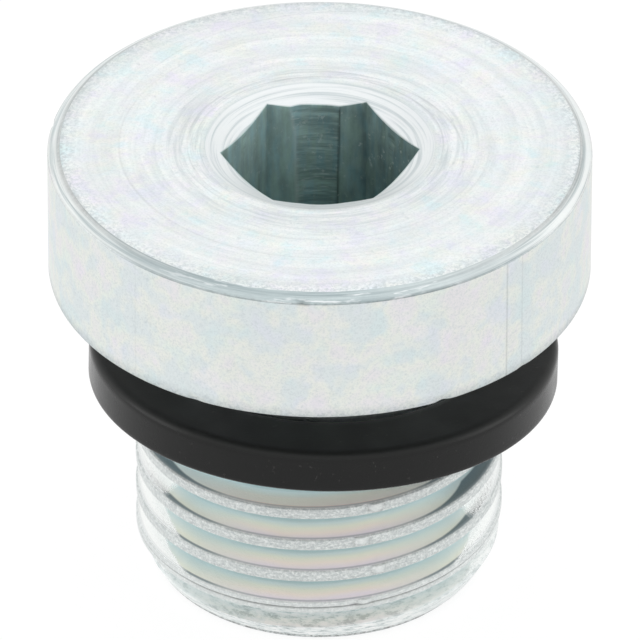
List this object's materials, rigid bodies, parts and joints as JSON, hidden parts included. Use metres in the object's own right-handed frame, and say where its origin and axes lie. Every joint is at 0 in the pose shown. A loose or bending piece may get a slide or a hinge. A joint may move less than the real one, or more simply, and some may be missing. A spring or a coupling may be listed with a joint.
{
  "type": "threaded plug",
  "caption": "Screw-in pipe plug: flat round head, hexagon socket, parallel right-hand thread, and a loose flat rubber sealing ring on the neck below the head.",
  "frame": {"origin": "centre of the end face at the thread's tip, which the plug stands on", "axes": "+Z along the plug's axis from the thread's tip to the head; -Y is the front in the picture; the seal ring hangs slightly tilted about this axis"},
  "size_m": [0.019, 0.019, 0.017],
  "materials": {
    "zinc_plated_steel": "bright zinc plate with a pale iridescent passivation over turned steel",
    "black_rubber": "smooth black rubber, semi-matt"
  },
  "bodies": {
    "root": {"plug_body": "zinc_plated_steel", "seal_ring": "black_rubber"}
  },
  "joints": []
}
